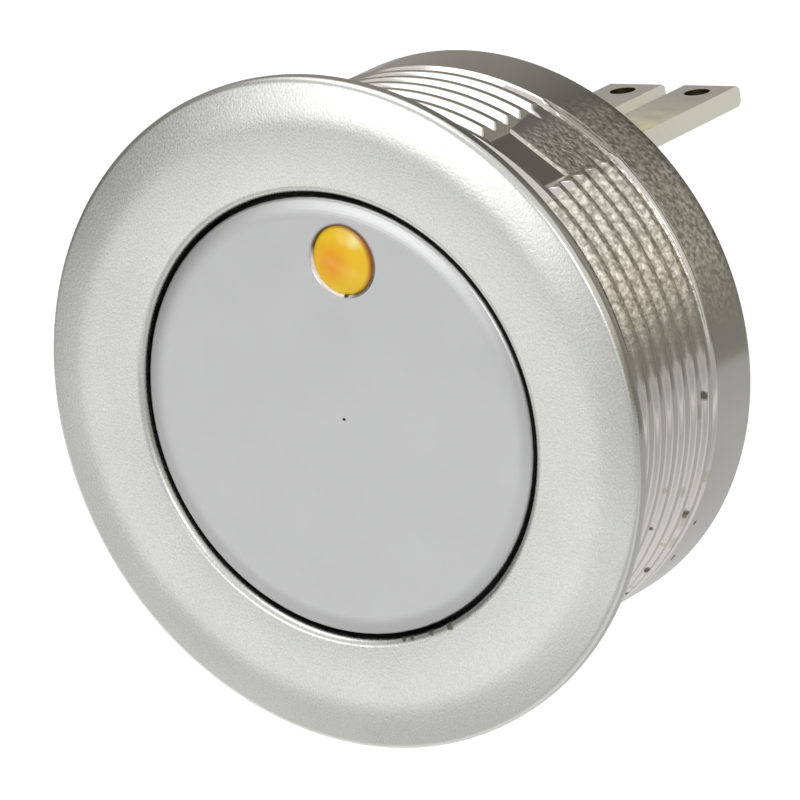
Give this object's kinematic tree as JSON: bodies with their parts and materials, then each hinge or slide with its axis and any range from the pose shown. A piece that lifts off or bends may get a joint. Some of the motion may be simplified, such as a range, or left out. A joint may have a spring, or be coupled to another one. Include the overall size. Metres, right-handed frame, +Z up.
{
  "type": "illuminated push button",
  "caption": "Round metal push button for a panel hole, with a wide bevelled bezel, a flush sprung cap with a small amber lamp lens, a threaded sleeve and flat plug terminals.",
  "frame": {"origin": "centre of the ring on the bezel's back that lies on the panel, on the button's axis", "axes": "-Y out of the panel along the button's axis, +Y behind the panel, +Z up with the lamp above the centre, +X to the right as seen from the front"},
  "size_m": [0.025, 0.0252, 0.025],
  "materials": {
    "housing_metal": "bead-blasted front with a satin nickel look, bright on the thread",
    "cap_metal": "fine satin nickel",
    "lens_amber": "glossy tinted lens",
    "clear_plastic": "clear",
    "seal_rubber": "matte",
    "plunger_plastic": "moulded",
    "base_plastic": "moulded",
    "spring_steel": "drawn wire and strip",
    "terminal_metal": "tinned",
    "contact_metal": "silver face",
    "bridge_copper": "rolled strip",
    "board": "coated board",
    "led_body": "moulded package",
    "resistor": "glazed"
  },
  "bodies": {
    "housing_body": {"housing": "housing_metal", "terminal_base": "base_plastic", "base_seal": "seal_rubber", "retaining_ring": "spring_steel", "guide_pins": "spring_steel", "led_board": "board", "led": "led_body", "led_resistor": "resistor", "switch_terminal_left": "terminal_metal", "switch_terminal_right": "terminal_metal", "fixed_contacts": "contact_metal", "led_terminal_left": "terminal_metal", "led_terminal_right": "terminal_metal"},
    "button": {"actuator_cap": "cap_metal", "lens": "lens_amber", "light_pipe": "clear_plastic", "cap_seal": "seal_rubber", "plunger": "plunger_plastic", "plunger_clip": "spring_steel", "return_spring": "spring_steel"},
    "bridge": {"contact_bridge": "bridge_copper", "bridge_contacts": "contact_metal", "contact_spring": "spring_steel"}
  },
  "joints": [
    {"name": "button_press", "type": "slide", "parent": "housing_body", "child": "button", "axis": [0, 1, 0], "range_m": [0, 0.0015], "stiffness_N_per_m": 1200, "springref_m": -0.002, "deforming": ["return_spring"]},
    {"name": "bridge_travel", "type": "slide", "parent": "housing_body", "child": "bridge", "axis": [0, 1, 0], "range_m": [0, 0.001], "deforming": ["contact_spring"]}
  ],
  "couplings": [
    {"joint": "bridge_travel", "follows": "button_press", "ratio": 0.66667}
  ]
}
